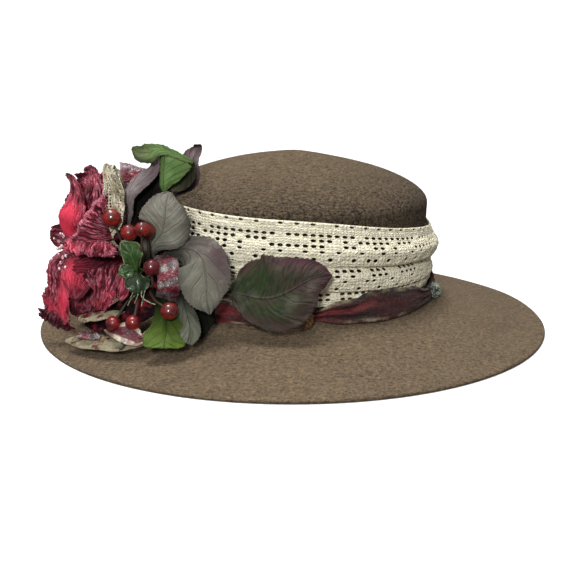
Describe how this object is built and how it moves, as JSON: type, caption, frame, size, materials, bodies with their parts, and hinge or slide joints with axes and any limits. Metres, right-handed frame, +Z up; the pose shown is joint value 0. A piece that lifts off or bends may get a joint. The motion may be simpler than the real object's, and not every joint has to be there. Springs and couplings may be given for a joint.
{
  "type": "brimmed hat",
  "caption": "Brown felt hat with a low domed crown, wide oval brim, crochet lace and tartan ribbon bands, and a silk posy.",
  "frame": {"origin": "on the surface that the rim rests on, under the middle of the brim", "axes": "+Z up; -X the front of the hat, -Y its left side, where the posy sits"},
  "size_m": [0.38, 0.344, 0.1433],
  "materials": {
    "felt_brown": "matt fur felt",
    "lace_cream": "cotton crochet",
    "ribbon_tartan": "tartan taffeta with metallic edges",
    "petal_silk": "crumpled silk",
    "leaf_velvet": "velvet, grey green to purple",
    "leaf_green": "stiffened cotton, green",
    "leaf_glossy": "waxed",
    "berry_red": "lacquered",
    "stem_brown": "paper-bound wire",
    "stamen_pink": "pearl-tipped threads",
    "knot_gold": "gold and brown ribbon"
  },
  "bodies": {
    "root": {"berry_1": "berry_red", "berry_2": "berry_red", "berry_3": "berry_red", "berry_4": "berry_red", "berry_5": "berry_red", "berry_6": "berry_red", "berry_7": "berry_red", "berry_8": "berry_red", "berry_stem_1": "stem_brown", "berry_stem_2": "stem_brown", "berry_stem_3": "stem_brown", "berry_stem_4": "stem_brown", "berry_stem_5": "stem_brown", "berry_stem_6": "stem_brown", "berry_stem_7": "stem_brown", "berry_stem_8": "stem_brown", "felt_hood": "felt_brown", "flower_centre": "stamen_pink", "glossy_leaf_1": "leaf_glossy", "glossy_leaf_2": "leaf_glossy", "glossy_leaf_3": "leaf_glossy", "lace_band": "lace_cream", "lace_loop": "lace_cream", "leaf_curled": "leaf_velvet", "leaf_folded": "leaf_green", "leaf_large": "leaf_velvet", "leaf_lower_green": "leaf_green", "leaf_lower_grey": "leaf_velvet", "leaf_side": "leaf_velvet", "leaf_tip": "leaf_velvet", "leaf_upper": "leaf_velvet", "petal_back_1": "petal_silk", "petal_back_2": "petal_silk", "petal_back_3": "petal_silk", "petal_back_4": "petal_silk", "petal_front_1": "petal_silk", "petal_front_2": "petal_silk", "petal_front_3": "petal_silk", "petal_front_4": "petal_silk", "petal_front_5": "petal_silk", "petal_front_6": "petal_silk", "petal_front_7": "petal_silk", "petal_front_8": "petal_silk", "petal_front_9": "petal_silk", "petal_inner_1": "petal_silk", "petal_inner_2": "petal_silk", "petal_left": "petal_silk", "ribbon_band": "ribbon_tartan", "ribbon_fold": "ribbon_tartan", "ribbon_knot_back": "ribbon_tartan", "ribbon_knot_front": "knot_gold", "ribbon_loop_side": "ribbon_tartan", "ribbon_loop_top": "ribbon_tartan", "ribbon_tail_lower": "ribbon_tartan", "ribbon_tail_upper": "ribbon_tartan", "stem_bundle": "stem_brown"}
  },
  "joints": []
}
